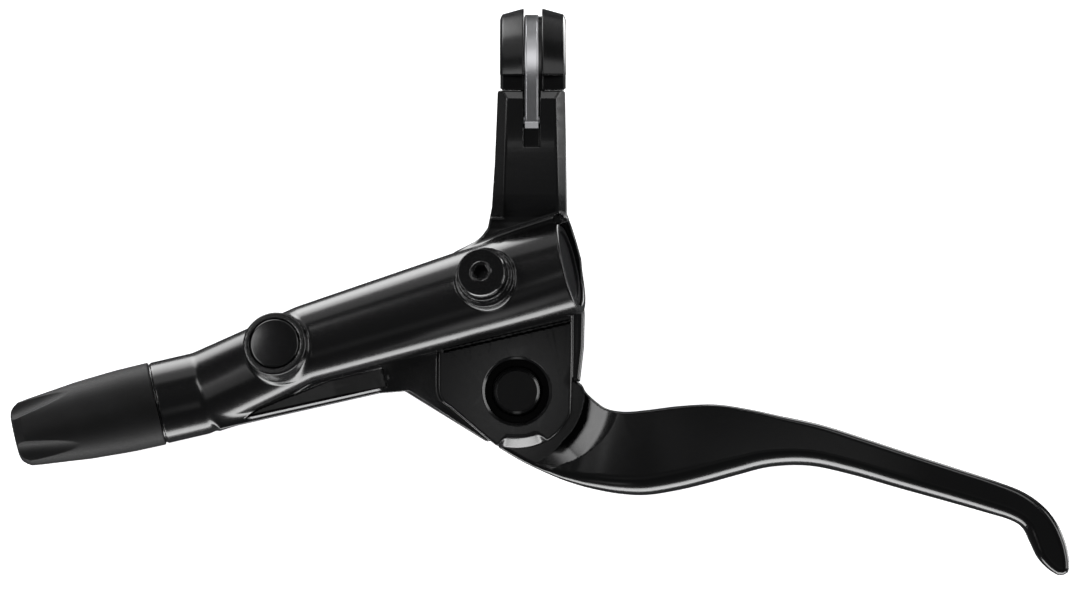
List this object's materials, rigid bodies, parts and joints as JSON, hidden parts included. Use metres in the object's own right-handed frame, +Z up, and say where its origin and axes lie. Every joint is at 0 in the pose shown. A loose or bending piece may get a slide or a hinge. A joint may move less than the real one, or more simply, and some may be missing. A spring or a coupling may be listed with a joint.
{
  "type": "bicycle brake lever",
  "caption": "Left-hand hydraulic disc-brake lever for a flat handlebar: master-cylinder body with bar clamp, pivoting lever blade, piston, reservoir and rubber hose cover.",
  "frame": {"origin": "centre of the handlebar clamp bore", "axes": "+X along the handlebar toward its grip end, +Y from the lever toward the bar and on to the rider, +Z up, square to the lever plane"},
  "size_m": [0.2015, 0.1075, 0.0418],
  "materials": {
    "gloss_black_body": "gloss black paint on a casting",
    "gloss_black_lever": "gloss black paint on a forging",
    "gloss_black_clamp": "gloss black paint",
    "black_pin": "matte black",
    "black_screw": "black oxide",
    "black_plug": "gloss",
    "cap_plastic": "satin moulded",
    "spring_steel": "bright",
    "zinc_steel": "zinc",
    "strap_steel": "brushed stainless",
    "black_bolt": "black oxide",
    "seal_rubber": "smooth",
    "cover_rubber": "matte moulded",
    "olive_brass": "bright",
    "bush_plastic": "moulded",
    "piston_alloy": "hard anodised"
  },
  "bodies": {
    "body": {"lever_body": "gloss_black_body", "pivot_pin": "black_pin", "pivot_circlip": "spring_steel", "piston_stop_ring": "spring_steel", "return_spring": "spring_steel", "reservoir_bladder": "seal_rubber", "reservoir_cap": "cap_plastic", "reservoir_cap_seal": "seal_rubber", "bleed_screw": "black_screw", "bleed_screw_o_ring": "seal_rubber", "port_plug": "black_plug", "port_plug_o_ring": "seal_rubber", "hose_nut": "zinc_steel", "compression_olive": "olive_brass", "hose_cover": "cover_rubber", "strap_pin": "zinc_steel"},
    "lever": {"brake_lever": "gloss_black_lever", "pivot_bush_upper": "bush_plastic", "pivot_bush_lower": "bush_plastic"},
    "rod": {"push_rod": "zinc_steel", "push_rod_trunnion": "zinc_steel"},
    "piston": {"piston": "piston_alloy", "primary_seal": "seal_rubber", "secondary_seal": "seal_rubber"},
    "clamp": {"clamp_cap": "gloss_black_clamp", "clamp_strap": "strap_steel", "clamp_washer": "black_bolt", "clamp_bolt": "black_bolt"}
  },
  "joints": [
    {"name": "lever_pull", "type": "hinge", "parent": "body", "child": "lever", "pos_m": [-0.00304, -0.05719, -0.007], "axis": [0, 0, 1], "range_deg": [0, 24], "stiffness_Nm_per_rad": 1, "springref_deg": -17.19},
    {"name": "piston_slide", "type": "slide", "parent": "body", "child": "piston", "axis": [-0.9744, -0.225, 0], "range_m": [0, 0.00559], "deforming": ["return_spring"]},
    {"name": "push_rod_swivel", "type": "hinge", "parent": "lever", "child": "rod", "pos_m": [-0.00327, -0.04399, -0.007], "axis": [0, 0, 1], "range_deg": [-24.2, 0.2]},
    {"name": "clamp_hinge", "type": "hinge", "parent": "body", "child": "clamp", "pos_m": [0, -0.006, 0.01255], "axis": [1, 0, 0], "range_deg": [0, 75]}
  ],
  "couplings": [
    {"joint": "piston_slide", "follows": "lever_pull", "m_per_rad": 0.013109},
    {"joint": "push_rod_swivel", "follows": "lever_pull", "ratio": -1}
  ]
}
